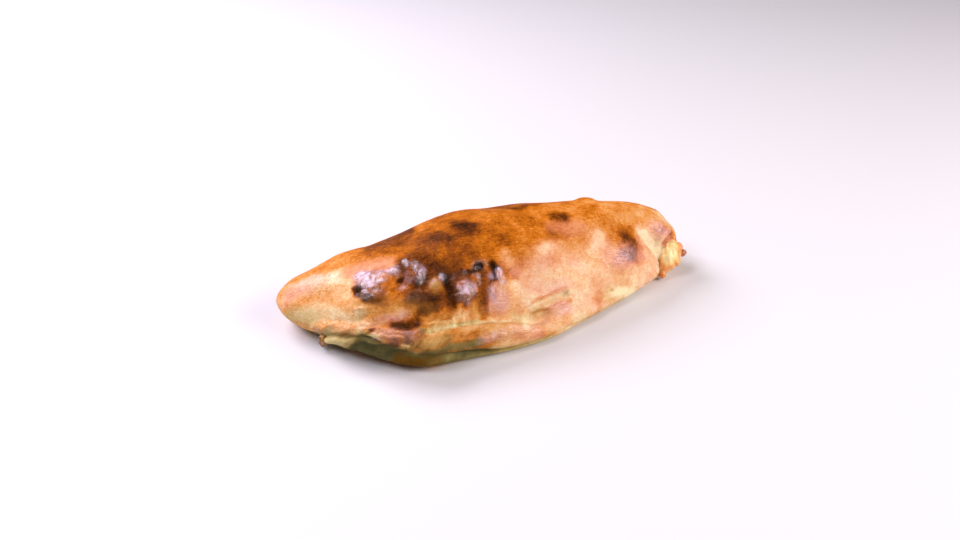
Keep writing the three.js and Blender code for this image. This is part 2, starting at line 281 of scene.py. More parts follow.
# The finer relief, in the same terms.
FINE_BUMPS = [
    ((-87, 22), (7, 7), 0, 1.0, 0.5),  # skin of the scorched blister, upper
    ((-78, 27), (5, 6), 0, 0.9, 0.4),  # right end
    ((-92, 27), (3, 4), 0, 0.6, 0.3),  # left end
    ((-88, 36), (4, 3.5), 0, 1.1, 0.4),  # lower lumps
    ((-82, 33), (4, 4), 0, 0.9, 0.3),
    ((-84, 41.5), (4, 2.6), 20, 0.9, 0.4),
    ((-91.5, 32), (2.2, 2.4), 0, -1.3, 0.2),  # pits in it
    ((-85, 36), (1.6, 2.2), 0, -1.1, 0.2),
    ((-70, 27), (4, 4.5), 0, 1.2, 0.4),  # knob
    ((-67, 33.5), (3.5, 2), -20, -1.5, 0.2),  # pit under the knob
    ((-61, 22), (4.5, 4.5), 0, 1.1, 0.4),  # lumps of the brown blister
    ((-54.5, 35.5), (6, 2.6), -49, 1.5, 0.3),
    ((-62, 34), (3, 4), 30, 0.7, 0.3),
    ((-49.5, 33), (2.6, 3.4), 0, -1.6, 0.2),  # recess right of it
    ((-58, 46), (4, 3), 0, 0.8, 0.3),  # dark lumps below
    ((-63, 44), (3, 3), 0, 0.6, 0.3),
    ((-53, 52), (3, 4), 0, 0.7, 0.3),
    ((-43, 43.5), (2.2, 2.8), 0, 1.0, 0.3),
    ((-34, 46), (4, 2.6), 0, 0.7, 0.3),  # over the big blister
    ((-27, 47), (3, 3), 0, 0.7, 0.3),
    ((-33.5, 55), (5, 5), 0, 0.9, 0.5),  # top of the big blister
    ((-27, 57), (4, 4.5), 0, 0.7, 0.3),
    ((-31, 64), (3, 3.5), 0, 0.9, 0.3),  # its tail
    ((-19, 45.5), (4.2, 2.8), 0, -2.2, 0.5),  # hole of the burst bubble
    ((-14.5, 47), (2, 3), 0, 0.9, 0.2),  # its torn edge
    ((-19, 50), (4, 1.6), 0, 0.8, 0.2),
    ((1, 52), (3, 2), 0, -0.8, 0.2),
    ((8, 44), (5, 2.5), 0, -0.6, 0.2),
    ((27, 36), (6, 3), 10, 0.7, 0.3),
    ((-89.5, 62), (2.2, 1.8), 0, -0.8, 0.2),  # nick on the rim
]
FINE_FOLDS = [
    ([(-10, 44), (-9, 48), (-10, 53)], 1.9, -1.9),  # crack
    ([(-6.5, 49), (-5.5, 54), (-7, 58)], 2.2, 1.3),  # ridge beside it
    ([(-1, 50), (-2, 56), (-5, 62)], 1.6, 0.8),  # thin ridge
    ([(-24, 48), (-22.5, 53), (-23, 58)], 1.6, 0.9),  # drip beside the blister
    ([(-41.5, 45), (-41, 55), (-40, 63)], 2.6, -1.7),  # cleft
    ([(-11, 57), (-15, 64), (-16, 72)], 2.4, 0.9),  # edge of the right blister
    ([(-46, 52), (-45, 60), (-46, 69)], 2.0, 0.6),  # runs of dough below
    ([(-37, 64), (-36, 70), (-37, 76)], 1.8, 0.5),
    ([(-27, 67), (-27, 72), (-26, 77)], 1.8, 0.5),
    ([(-75, 37), (-67, 34)], 1.2, 0.6),  # scratch by the knob
    ([(-97, 45), (-92, 46)], 1.6, 0.8),  # little folds at the tuck
    ([(-98, 54), (-90, 57)], 1.8, 0.8),
    ([(-122, 39), (-109, 48), (-99, 56)], 2.4, 0.5),  # rolled edge at the tip
    ([(-117, 43), (-108, 47)], 1.3, 0.5),
    ([(-112, 50), (-103, 54)], 1.4, 0.6),
    ([(-106, 48), (-98, 53)], 1.2, 0.4),
    # crease under the lip
    ([(-115, 50.5), (-110, 52.5), (-104.6, 55.5), (-99, 60), (-94, 64.5), (-86, 71)], 1.7, -1.6),
    ([(-113, 54.5), (-107, 57.5), (-102, 62.5), (-99.5, 67)], 2.6, 1.3),  # crown of the first tuck
    ([(-97.5, 66), (-99, 72)], 2, -1.0),  # and its far edge
    ([(-95, 71), (-92, 77), (-90, 83)], 1.6, -0.9),  # edge of the second tuck
    ([(-93, 62), (-87, 66), (-80, 70), (-74, 72)], 1.6, 1.0),  # wrinkles of the rim
    ([(-90, 60), (-84, 63)], 1.3, 0.6),
    ([(-88, 67), (-82, 71), (-75, 75)], 1.3, -0.8),
    ([(-78, 66), (-73, 70), (-70, 74)], 1.2, 0.6),
    ([(-84, 70), (-79, 75)], 1.2, 0.5),
    ([(-68, 79), (-64, 73), (-58, 69.5), (-48, 69)], 2.0, 1.1),  # pleat
    ([(-66, 81), (-60, 76), (-52, 75)], 1.5, -0.9),
    ([(-73, 78), (-71, 86)], 1.3, -0.6),  # puckers under the pleat
    ([(-67, 80), (-66, 88)], 1.3, 0.5),
    ([(-60, 80), (-60, 88)], 1.5, -0.5),
    ([(-60, 73), (-48, 75), (-36, 77.5), (-24, 81)], 2.2, -1.3),  # crease behind the rim
    ([(-58, 70), (-40, 73.5), (-26, 77)], 1.8, 0.7),
    ([(-40, 70), (-41, 79)], 1.2, 1.0),  # strands across it
    ([(-33, 69), (-34, 79)], 1.2, 0.9),
    ([(-53, 71), (-53, 77)], 1.2, 0.6),
    ([(-37, 72), (-37, 78)], 1.3, -0.7),
    ([(-48, 71), (-49, 77)], 1.3, -0.6),
    ([(-29, 72), (-29, 79)], 1.3, -0.6),
    ([(-16, 76), (-15, 82)], 1.2, 0.5),
    ([(-95, 63), (-89, 66.5), (-80, 72.5), (-71, 78.5)], 1.2, 0.8),  # edge of the lip
    ([(-46, 81), (-36, 84), (-22, 87)], 2.4, 0.9),  # ridge in front of it
    ([(-34, 89), (-28, 92), (-18, 94)], 1.4, 0.8),
    ([(-12, 92), (2, 93), (12, 91)], 1.6, 0.6),
    ([(11, 76), (25, 71), (38, 67.5)], 1.6, -1.1),  # dents by the rim
    ([(12, 73.5), (26, 68.5), (38, 65)], 1.6, 0.8),
    ([(12, 79), (24, 75.5), (34, 73)], 1.5, 0.7),
    ([(96, 22), (102, 29), (108, 34.5), (114, 38.5), (120, 44)], 2.6, 1.7),  # belly's edge
    ([(124, 34), (125, 28), (130, 20), (136, 12)], 1.8, -1.6),  # seam at the end
    ([(120, 31), (123, 24), (128, 17)], 2.6, 0.9),  # its rolled edge
]
fine = sum(rise * spot(wander_x, wander_g, at, half, turn, flat)
           for at, half, turn, rise, flat in FINE_BUMPS)
fine = fine + sum(rise * stroke(wander_x, wander_g, path, half) for path, half, rise in FINE_FOLDS)

# Scorched skin is wrinkled, and the rest is nearly even.
scorched = np.maximum.reduce([
    stroke(wander_x, wander_g, [(-86, 30), (-60, 36), (-35, 52), (-8, 53)], 17, 0.3),
    spot(wander_x, wander_g, (-20, 12), (24, 12)) * 0.4,
    stroke(wander_x, wander_g, [(-112, 46), (-92, 58), (-64, 73)], 9, 0.2) * 0.8,
])
ridges = noise(x, g, 3.2, 61)
fine = fine + scorched * (0.3 * noise(x, g, 7, 71) + 0.24 * ridges)
fine = fine + 0.12 * noise(x, g, 7, 81)
dough = dough + outward(dough, blend=2) * (soft * fine)[..., None]
dough[..., 2] = np.maximum(dough[..., 2], mix(middle_z, lift, opening))

# ---- Crust: its browning ----------------------------------------------------------
# How far each place is baked, and under the lip how deep its painted shade is: 0 cream,
# 0.15 gold, 0.3 tan, 0.45 light orange, 0.6 orange-brown, 0.75 chestnut, 0.88 dark brown,
# 1 char. The top browned most, down to a border on the near slope.

BORDER = [
    (-141, 2), (-118, 2), (-108, 5), (-98, 8), (-94, 30), (-86, 46), (-76, 48), (-69, 57),
    (-60, 60), (-50, 65), (-42, 63), (-30, 63), (-24, 68), (-19, 72), (-15, 57), (-10, 48),
    (-4, 44), (0, 41), (6, 48), (14, 43), (24, 36), (34, 37), (48, 40), (56, 40), (65, 29),
    (72, 32), (78, 42), (98, 40), (106, 20), (118, 22), (128, 16), (141, 12),
]
BORDER_WIDTH = [
    (-141, 8), (-100, 8), (-80, 12), (-10, 12), (20, 16), (45, 26), (80, 24), (104, 10),
]
TOP_LEVEL = [
    (-141, 0.5), (-110, 0.51), (-96, 0.49), (-84, 0.62), (-74, 0.7), (-50, 0.72), (-38, 0.69),
    (-15, 0.67), (-5, 0.65), (15, 0.61), (35, 0.56), (50, 0.53), (70, 0.52), (80, 0.47),
    (100, 0.45), (112, 0.41), (141, 0.41),
]
SLOPE_LEVEL = [
    (-141, 0.36), (-104, 0.35), (-92, 0.45), (-70, 0.5), (-50, 0.42), (-20, 0.4), (-8, 0.38),
    (5, 0.34), (20, 0.33), (45, 0.28), (70, 0.3), (90, 0.3), (104, 0.23), (130, 0.28),
]

# Each patch pulls the skin towards its own level: at or along what, half sizes, level,
# share, and how wide its edge is, as a share of its half size.
PATCHES = [
    # Left end, with pale streaks of painted sheen.
    ([(-138, 7), (-126, 8), (-118, 9)], 3.4, 0.3, 0.9, 0.8),
    ([(-121, 12), (-113, 14), (-104, 16)], 3.6, 0.16, 1, 0.6),
    ((-100, 14), (6, 6), 0.02, 1, 0.6),  # cream patch
    ([(-99, 16), (-97, 25), (-97, 31)], 4.4, 0.15, 1, 0.7),
    ([(-97, 12), (-93, 17)], 4, 0.22, 0.9, 0.8),
    ((-138, 14), (6, 6), 0.45, 0.8, 1),
    ([(-128, 16), (-114, 20), (-104, 25)], 4.5, 0.39, 0.8, 1),
    ([(-126, 28), (-118, 33), (-111, 38), (-103, 46), (-97, 53)], 5, 0.2, 0.9, 0.7),
    ([(-106, 32), (-102, 37), (-97, 41)], 3.4, 0.4, 0.8, 0.9),
    ([(-120, 38), (-111, 39)], 3.4, 0.2, 0.8, 0.8),
    ([(-119, 42), (-109, 50), (-101, 56.5), (-95, 61)], 3.4, 0.44, 0.9, 0.8),  # rolled edge
    ((-92, 41), (3.6, 3), 0.45, 0.8, 0.8),
    ((-95, 48), (4.4, 2.4), 0.18, 0.9, 0.7),
    # A painted highlight.
    ([(-96, 57), (-91, 57)], 2, 0.15, 0.7, 0.6),
    # Over the crest at the left, and down to the blisters.
    ([(-72, -14), (-62, -15), (-54, -14)], 10, 0.83, 0.95, 0.7),
    ([(-78, -4), (-68, -3), (-60, -2)], 6, 0.77, 0.9, 0.9),
    ([(-43, -22), (-44, -8)], 3.6, 0.52, 0.9, 0.8),
    ([(-91, 11), (-82, 12), (-72, 16)], 6.5, 0.47, 0.95, 0.8),  # band above the blisters
    # Scorched blister, its dark edges and the skin under it.
    ([(-86, 23.5), (-79, 26)], 7.4, 0.74, 1, 0.35),
    ((-86, 34), (8, 6), 0.8, 1, 0.5),
    ([(-93, 28), (-91.5, 35)], 2.8, 0.94, 1, 0.5),
    ([(-88, 41), (-82, 45)], 3.2, 0.94, 1, 0.6),
    ((-81, 49), (4, 3), 0.8, 0.8, 0.8),
    ((-76, 41), (11, 9), 0.68, 0.9, 0.8),
    ((-67, 37), (3.5, 3), 0.62, 0.8, 0.8),
    ((-80, 52), (7, 4), 0.56, 0.9, 0.8),
    ([(-77, 20), (-73, 30), (-75, 38)], 3.6, 0.58, 0.9, 0.8),
    # Knob and its pit.
    ((-70, 26.5), (3.5, 4.5), 0.7, 0.9, 0.6),
    ((-67, 33), (3, 2), 0.95, 1, 0.5),
    # Brown blister and the dark skin round it.
    ((-60, 25), (8, 9), 0.86, 0.95, 0.7),
    ((-58, 35), (8, 5), 0.84, 0.9, 0.6),
    ((-49, 33), (3, 3.5), 0.97, 1, 0.6),
    ([(-51, 25), (-48, 30), (-44, 36)], 5, 0.88, 0.9, 0.8),
    ((-52, 38), (3, 3), 0.94, 0.9, 0.8),
    ((-36, 26), (6, 4.5), 0.63, 0.9, 0.9),
    ((-39, 5), (4, 3), 0.64, 0.8, 0.9),
    ([(-46, 37), (-34, 37)], 5, 0.88, 0.9, 0.9),
    ([(-58, 41), (-52, 43)], 3, 0.9, 0.9, 0.8),
    ([(-62, 47), (-58, 51), (-52, 55), (-43, 57)], 5, 0.9, 1, 0.8),  # dark band
    ((-48, 46.5), (3.6, 4.8), 0.40, 0.95, 1.2),  # pale bubble
    # Big blister, from the cleft to the burst bubble.
    ([(-42, 38), (-38, 46), (-30, 48), (-24, 49)], 4, 0.93, 1, 0.6),
    ([(-41.6, 43), (-40.5, 52), (-38.5, 61)], 2.8, 1, 1, 0.7),  # cleft
    ([(-37, 58), (-31, 61), (-25, 60)], 3, 0.9, 0.9, 0.8),
    ((-30, 55), (7, 6), 0.8, 1, 0.6),
    ((-31, 64), (3, 4), 0.86, 0.9, 0.7),
    ([(-24, 50), (-23, 57)], 1.6, 0.62, 0.9, 0.6),
    # A painted highlight: a thin golden glint beside the blister.
    ([(-19.5, 48.5), (-20, 55)], 0.9, 0.36, 1, 0.6),
    ((-19, 46), (4.5, 3), 0.97, 1, 0.5),  # burst bubble
    # Valley, right blister and the crack over it.
    ([(-18, 53), (-17, 60), (-17, 69)], 4.6, 0.8, 1, 0.8),
    ([(-17, 72), (-19, 77)], 3.6, 0.62, 0.8, 0.9),
    ([(-3, 49), (0, 53)], 4.5, 0.68, 0.9, 0.8),
    ((-9, 66), (6.5, 11), 0.5, 0.9, 0.6),  # right blister
    ([(-13, 54), (-13, 64)], 3, 0.72, 0.9, 0.8),
    ([(-10, 45), (-8.5, 49), (-9.5, 54)], 2.6, 0.95, 1, 0.7),  # crack
    ([(-6.5, 51), (-5.5, 57)], 2, 0.55, 0.9, 0.6),
    ([(2, 54), (7, 49), (12, 44)], 3.6, 0.62, 0.9, 0.8),
    # Edge of the browning at the right.
    ([(16, 43), (36, 42), (56, 43)], 5, 0.42, 0.8, 1),
    ((45, 28), (6, 4), 0.5, 0.7, 1),
    ((0, 40), (4, 2.6), 0.44, 0.8, 0.8),
    # Below the blisters, down to the crease.
    ([(-64, 60), (-50, 63), (-40, 63)], 4.8, 0.87, 0.9, 0.9),
    ([(-57, 67), (-46, 68), (-41, 70)], 3.6, 0.68, 0.9, 0.9),
    ((-76, 56.5), (7, 2.6), 0.44, 0.95, 0.8),
    ((-67, 58), (4, 3), 0.56, 0.9, 0.8),
    ((-60, 66), (4, 3), 0.6, 0.8, 0.8),
    ([(-36, 64), (-36, 73)], 1.6, 0.5, 0.8, 0.7),
    ((-37, 71), (3, 3), 0.3, 0.8, 0.9),
    ([(-28, 66), (-27, 75)], 1.6, 0.56, 0.8, 0.7),
    ([(-62, 66), (-46, 67)], 3, 0.55, 0.9, 0.9),
    # Crease behind the rim, and the strands across it, painted paler on their raised tops and
    # darker in the grooves between: painted light and shade.
    ([(-61, 73), (-48, 76)], 2.6, 0.22, 0.95, 0.7),
    ([(-49, 74.5), (-36, 77), (-24, 79.5)], 1.9, 0.22, 0.95, 0.8),
    ([(-24, 79.5), (-10, 82), (4, 83.5)], 1.4, 0.14, 0.9, 0.8),
    ([(-53, 72), (-52, 75)], 1.2, 0.1, 0.6, 0.9),
    ([(-49, 77), (-48, 73)], 0.8, 0.4, 0.7, 0.9),
    ([(-44, 74), (-42, 76)], 1.2, 0.2, 0.6, 0.9),
    ([(-40, 71), (-41, 79)], 0.9, 0.06, 0.8, 0.8),
    ([(-37, 74), (-37, 77)], 1, 0.42, 0.7, 0.9),
    ([(-33.5, 71), (-34, 78)], 0.8, 0.1, 0.7, 0.8),
    ([(-29, 76), (-28, 79)], 0.9, 0.4, 0.7, 0.9),
    ([(-31, 82), (-25, 83)], 2.4, 0.28, 0.8, 0.9),
    ([(-16, 79), (-13, 80)], 1.2, 0.1, 0.6, 0.9),
    ([(-57, 69), (-47, 71), (-40, 73)], 0.8, 0.25, 0.7, 0.8),
    # Wrinkles of the rim at the left.
    # A painted highlight along the lip's edge.
    ([(-95, 63), (-89, 66.5), (-80, 72.5), (-71, 78.5)], 1, 0.14, 0.9, 0.8),
    ([(-79, 66), (-72, 70), (-65, 73)], 4.4, 0.82, 0.85, 0.9),
    ((-93, 62), (3, 2.4), 0.4, 0.8, 0.9),
    ((-107, 58), (4, 3), 0.22, 0.8, 0.9),
    ([(-88, 64.5), (-81, 69), (-75, 71.5)], 0.8, 0.35, 0.9, 0.8),
    ([(-86, 62), (-79, 66), (-72, 69)], 0.8, 0.75, 0.8, 0.9),
    ([(-84, 68), (-77, 73), (-70, 76)], 0.9, 0.78, 0.8, 0.9),
    ([(-84, 59), (-79, 60)], 4, 0.5, 0.9, 0.8),
    ([(-77, 62), (-70, 63.5), (-63, 65.5)], 2.7, 0.95, 1, 0.9),  # dark hollow above them
    ([(-76, 71), (-66, 73)], 3.4, 0.72, 0.9, 0.8),
    # Rim, from the left to the right.
    ([(-90, 62), (-84, 67), (-77, 72)], 3.6, 0.53, 0.9, 0.7),
    ([(-86, 75), (-80, 76)], 3.5, 0.82, 0.9, 0.8),
    ([(-60, 79), (-50, 82)], 3.4, 0.5, 0.8, 0.9),
    ([(-60, 88), (-46, 88)], 2.6, 0.68, 0.8, 0.9),
    ((-89.5, 62), (2.2, 1.7), 0.8, 0.9, 0.5),
    ((-90, 66.5), (3.4, 2), 0.2, 0.9, 0.7),
    ([(-68, 76), (-62, 71)], 2.2, 0.62, 0.8, 0.7),
    ([(-46, 81), (-39, 84)], 2.6, 0.57, 0.95, 0.7),
    ([(-39, 85), (-30, 87)], 2, 0.52, 0.9, 0.8),
    ([(-10, 90), (0, 94), (16, 92)], 4, 0.47, 0.8, 0.9),
    # Top, from the left to the right.
    ([(-40, 12), (-35, 15), (-32, 18)], 5.2, 0.87, 0.95, 0.9),
    ((-48, 8), (5, 6), 0.72, 0.9, 0.9),
    ((-36, -12), (4, 5), 0.56, 0.9, 0.9),
    ((27, 14), (4, 6), 0.72, 0.8, 1),
    ([(-25, 6), (-20, 10), (-16, 14)], 5.5, 0.93, 1, 0.8),
    ((-26, 31), (8, 8), 0.84, 0.9, 1),
    ((-22, 18), (5, 3), 0.86, 0.9, 0.9),
    ([(-1, 29), (5, 31)], 4, 0.72, 0.9, 0.9),
    ((8, 38), (4, 3), 0.52, 0.9, 0.9),
    ((12, 19), (5, 8), 0.57, 0.8, 1),
    ((46, 13), (6.5, 4.6), 0.87, 1, 0.8),
    ((42, 23), (4, 3), 0.68, 0.8, 1),
    ((61, 11), (8, 5), 0.56, 0.8, 1),
    ((67, 27), (4, 4), 0.44, 0.8, 1),
    ((107, 1), (4, 5), 0.58, 0.8, 0.9),
    ([(12, -15), (34, -14)], 8, 0.76, 0.9, 0.8),
    ((21, -4), (9, 4), 0.86, 0.95, 0.8),
    ((20, 12), (9, 5), 0.7, 0.8, 1),
    ((38, 30), (5, 4.5), 0.75, 0.9, 0.9),
    ((-7, 5), (6, 6), 0.54, 0.8, 1),
    ([(38, -9), (58, -11)], 5, 0.68, 0.8, 1),
    ((71, 6), (5, 4.5), 0.66, 0.8, 0.9),
    ((68, -9), (7, 4), 0.57, 0.8, 0.9),
    ([(109, -4), (122, 0)], 3.6, 0.66, 0.9, 0.8),
    ((127, 2), (4, 3), 0.5, 0.8, 0.9),
    ((137, 9), (3.5, 8), 0.5, 0.8, 0.8),
    ([(66, 14), (76, 21)], 5, 0.59, 0.7, 1),
    ([(94, -13), (108, -10)], 4, 0.26, 0.8, 0.9),
    # Belly at the right.
    ((85, 43), (12, 8), 0.72, 0.9, 0.9),
    ([(95, 43), (101, 43)], 4.5, 0.56, 0.9, 0.9),
    ((77, 32), (4, 6), 0.5, 0.9, 0.9),
    ([(98, 48), (95, 53), (84, 54)], 2.6, 0.54, 0.8, 0.8),
    ((98, 14), (4, 5), 0.33, 0.9, 0.9),
    ((121, 43), (2.6, 2.6), 0.3, 0.9, 0.9),
    ([(83, 26), (96, 27)], 3.6, 0.68, 0.8, 0.9),
    ([(90, 32), (97, 34), (90, 43)], 5.5, 0.87, 0.9, 0.9),
    ((79, 35), (4, 4), 0.5, 0.8, 0.9),
    ((103, 35), (3.5, 4), 0.6, 0.9, 0.9),
    ([(74, 34), (74, 43), (78, 48)], 2.4, 0.53, 0.8, 0.8),
    # Pale slope under it.
    ([(69, 31), (66, 38), (63, 42)], 4.4, 0.2, 0.95, 0.7),
    ([(51, 55), (61, 50)], 5, 0.18, 0.9, 0.9),
    ([(3, 61), (10, 67), (16, 71)], 4, 0.17, 0.9, 0.8),
    ((26, 55), (7, 4.5), 0.16, 0.9, 0.8),
    # A painted highlight.
    ((27, 37), (5, 2.6), 0.17, 0.9, 0.8),
    ([(80, 69), (86, 70), (92, 71)], 5.2, 0, 1, 0.6),
    ((76, 66.5), (1.6, 1.3), 0.5, 0.8, 0.5),
    ([(65, 69), (62, 79)], 3.6, 0.46, 0.9, 0.8),
    ((52, 69), (7, 6), 0.17, 0.8, 1),
    ([(94, 54), (101, 62)], 5, 0.13, 0.9, 0.8),
    ([(44, 74), (46, 86)], 4.5, 0.1, 0.9, 0.8),
    ((42, 67), (7, 4), 0.08, 0.9, 0.8),
    ((72, 58), (5, 4), 0.22, 0.8, 0.9),
    ([(52, 77), (56, 77)], 4, 0.16, 0.8, 0.9),
    ([(72, 78), (83, 77)], 4, 0.2, 0.8, 0.9),
    ([(102, 22), (104, 29), (108, 35), (114, 39)], 3, 0.44, 0.9, 0.7),
    # Right end, with its pale valley, and more of the slope.
    ([(110, 26), (115, 31), (121, 36), (127, 38)], 3.6, 0, 1, 0.9),
    ((107, 32), (3, 3), 0.2, 0.8, 0.8),
    ([(119, 43), (125, 47)], 5, 0, 1, 0.6),
    ([(110, 42), (116, 43)], 4, 0.32, 0.8, 0.8),
    ((92, 54), (4, 3), 0.36, 0.8, 0.8),
    ([(80, 62), (89, 62)], 3, 0.32, 0.8, 0.8),
    ([(10, 71), (25, 70)], 4.5, 0.08, 0.9, 0.9),
    ([(26, 62), (40, 61)], 4, 0.12, 0.9, 0.8),
    ((42, 58), (5, 4), 0.2, 0.8, 0.9),
    # Swelling beside the seam's mouth.
    ((124, 21), (7, 5), 0.63, 0.9, 0.8),
    ((133, 16), (3, 3), 0.75, 0.9, 0.7),
    ([(126, 28), (128, 24), (134, 14)], 1.8, 0.7, 0.9, 0.6),
    ((131, 7), (5, 4), 0.2, 0.8, 0.8),
    # Dents by the rim, and the rim below them.
    ([(14, 80), (20, 78)], 1.7, 0.52, 0.9, 0.8),
    ([(13, 72.5), (26, 67), (39, 64)], 1.3, 0.52, 0.9, 0.8),
    ([(13, 76), (26, 71.5), (38, 68)], 2.4, 0.14, 0.95, 0.7),
    ([(26, 80), (40, 75)], 3.4, 0.36, 0.85, 0.8),
    ([(20, 78.5), (30, 75.5), (41, 72.5)], 1.2, 0.6, 0.85, 0.8),
    ((10.5, 85.5), (6, 4.5), 0.02, 0.95, 0.8),
    ((1, 84), (4, 3), 0.32, 0.8, 0.8),
    ([(31, 94), (40, 93)], 2.4, 0.16, 0.8, 0.8),
    ([(12, 96), (26, 95)], 3, 0.52, 0.8, 0.9),
]

# Raw, greenish dough, whose level gives its painted shade: at or along what, half sizes,
# share, edge. The next list paints shade on the underside beneath the lip and in the crease
# under it, with lighter rows where light falls on its tucks, in the same terms as the patches.
RAW = [
    ([(-138, 22), (-130, 26), (-122, 34)], 4.5, 0.7, 0.9),
    ([(-119, 33), (-111, 37)], 5, 0.2, 1),
    ((-95, 49), (5, 3), 0.5, 0.8),
    ((-48, 47), (3.4, 5), 0.75, 1.2),
    ([(-66, 78), (-52, 82), (-44, 86)], 4, 0.4, 0.9),
    ([(-62, 70), (-40, 70)], 4, 0.35, 0.9),
    ([(-92, 44), (-78, 50), (-66, 52), (-56, 60)], 6, 0.4, 0.9),
    ([(-24, 66), (-22, 72)], 5, 0.3, 0.9),
    ([(-62, 73), (-48, 75.5), (-36, 77), (-24, 79.5)], 2.6, 0.8, 0.7),
    ([(-72, 78), (-60, 82), (-46, 85)], 4.5, 0.6, 0.9),
    ([(-118, 56), (-108, 63), (-98, 72), (-88, 82), (-76, 92), (-60, 98)], 10, 1, 0.4),
    ([(-60, 98), (-40, 104), (-10, 110), (30, 106)], 8, 1, 0.4),
    ([(-62, 88), (-44, 92), (-26, 95)], 3.6, 0.9, 0.7),
    ((5, 83), (6, 4), 0.5, 0.8),
    ((16, 80), (8, 4), 0.5, 0.8),
    ([(13, 76), (38, 68)], 2.6, 0.15, 0.9),
    ([(-92, 70), (-60, 82), (-10, 90)], 14, 0.2, 0.9),
    ([(24, 98), (60, 86), (100, 70)], 3.5, 0.5, 1),
    ([(76, 70), (94, 70)], 6, 0.4, 1),
    ([(106, 27), (124, 36)], 5, 0.2, 0.9),
]
PAINTED_SHADE_AND_LIGHT = [
    ([(-118, 58), (-109, 63)], 6, 0.36, 1, 0.6),
    ([(-104, 72), (-97, 77), (-88, 84), (-78, 92)], 9, 0.72, 1, 0.5),
    ([(-76, 91), (-68, 95)], 3.4, 0.86, 0.9, 0.8),
    ([(-107, 55), (-99, 60.5), (-94, 65), (-87, 71)], 1.3, 0.68, 0.9, 0.7),
    ([(-113, 55), (-107, 58.5), (-102, 63.5)], 3, 0.24, 1, 0.6),
    ([(-96, 71), (-90, 76)], 2.2, 0.8, 0.9, 0.7),
    ([(-70, 98), (-50, 98), (-30, 98)], 10, 0.66, 1, 0.5),
    ([(-62, 90), (-46, 93)], 2.4, 0.74, 0.9, 0.8),
    ([(-41, 92), (-28, 95)], 4, 0.58, 0.9, 0.9),
    ([(-25, 98), (-16, 98)], 4, 0.63, 0.9, 0.9),
    ([(-24, 104), (-16, 104)], 4, 0.63, 0.9, 0.9),
    ([(-58, 100), (-44, 102)], 2.4, 0.5, 0.8, 0.9),
    ([(-14, 101), (-2, 102)], 4, 0.27, 0.9, 0.8),
]

# Amber, where oil has soaked in, and the same for where it lies glossy on the skin and
# for painted highlights and sheen, an ash-lilac colour over the blisters' ashy skin.
SOAKED = [
    ([(-75, 93), (-66, 98)], 6, 1, 0.6),
    ([(-62, 98), (-55, 101)], 5, 0.7, 0.7),
    ((-121, 47), (4, 4), 0.7, 0.8),
    ((-119, 52), (3, 4), 0.8, 0.7),
    ((-101, 64), (3, 2.5), 0.55, 0.8),
    ((121, 53), (2.5, 2), 0.5, 0.8),
    ([(-66, 82), (-60, 86)], 3, 0.35, 0.9),
]
OILED = [
    ((-83, 25), (10, 8), 1, 0.3),
    ((-85, 36), (8, 5), 0.8, 0.5),
    ((-70, 26), (4, 5), 1, 0.5),
    ([(-61, 20), (-60, 25)], 2, 0.8, 0.6),
    ([(-56, 26), (-55, 32), (-56, 39)], 2.6, 1, 0.6),
    ((-62, 47), (7, 3), 0.15, 0.8),
    ((-43, 43.5), (3, 4), 0.8, 0.6),
    ((-49, 44), (3, 4), 0.5, 0.8),
    ((-31, 58), (7, 5), 1, 0.5),
    ((-31, 46), (8, 3), 0.2, 0.6),
    ((-18, 44), (5, 4), 0.8, 0.6),
    ([(-7, 49), (-6, 56)], 2.6, 0.9, 0.6),
    ([(-19.5, 48), (-20, 55)], 1.6, 1, 0.6),
    ((-9, 67), (7, 10), 0.8, 0.6),
    ((27, 37), (7, 4), 0.4, 0.8),
    ((82, 45), (12, 8), 0.5, 0.8),
    ((32, 77), (9, 4), 0.5, 0.7),
    ([(-122, 9), (-108, 13)], 5, 0.4, 0.8),
    ([(-120, 42), (-108, 50), (-96, 58)], 3, 0.4, 0.8),
    ((-95, 46), (4, 2), 0.4, 0.6),
    ([(-96, 57), (-86, 58)], 3, 0.35, 0.7),
    ((-82, 68), (9, 4), 0.25, 0.7),
    ((122, 20), (8, 8), 0.5, 0.8),
    ([(-12, 92), (12, 92)], 5, 0.4, 0.8),
]
ASH_AND_HIGHLIGHTS = [
    ((-87, 22.5), (6.5, 6.5), 0.9, 0.4),
    ((-79, 25), (5.5, 5.5), 0.75, 0.5),
    ((-86, 30), (4, 3), 0.7, 0.6),
    ((-88, 36), (2.6, 2), 0.5, 0.7),
    ((-70, 25.5), (3, 3.6), 0.9, 0.7),
    ([(-56, 28), (-54.5, 32), (-55.5, 38)], 1.5, 0.75, 0.7),
    ([(-61, 20), (-60, 24)], 1.1, 0.45, 0.7),
    ((-53, 32), (2, 3), 0.5, 0.7),
    ((-67, 38), (2.6, 2), 0.4, 0.8),
    ((-43.5, 42.5), (1.5, 2), 0.5, 0.8),
    ((-62, 34), (2.6, 3.4), 0.35, 0.9),
    ((-12, 52.5), (2, 2), 0.6, 0.8),
    ((-48, 44), (1.6, 2), 0.35, 0.9),
    ([(-33, 54), (-30.5, 55)], 3.4, 0.85, 0.4),
    ([(-29, 54), (-26.5, 55.5)], 3, 0.45, 0.6),
    ((-31, 64.5), (2, 2.4), 0.4, 0.8),
    ([(-7, 50), (-5.5, 57)], 2, 0.85, 0.6),
    ((-22, 50), (2, 1.4), 0.3, 0.7),
    ([(-13, 60), (-12, 68)], 2, 0.4, 0.8),
    ([(-84, 66), (-76, 70), (-68, 74)], 4, 0.15, 0.9),
    ([(-24, 94), (-12, 92)], 3, 0.3, 0.9),
    ([(82, 46), (90, 44)], 5, 0.35, 0.9),
    ((123, 21), (6, 4), 0.3, 0.9),
    ((-76, 57), (6, 2), 0.25, 0.9),
]
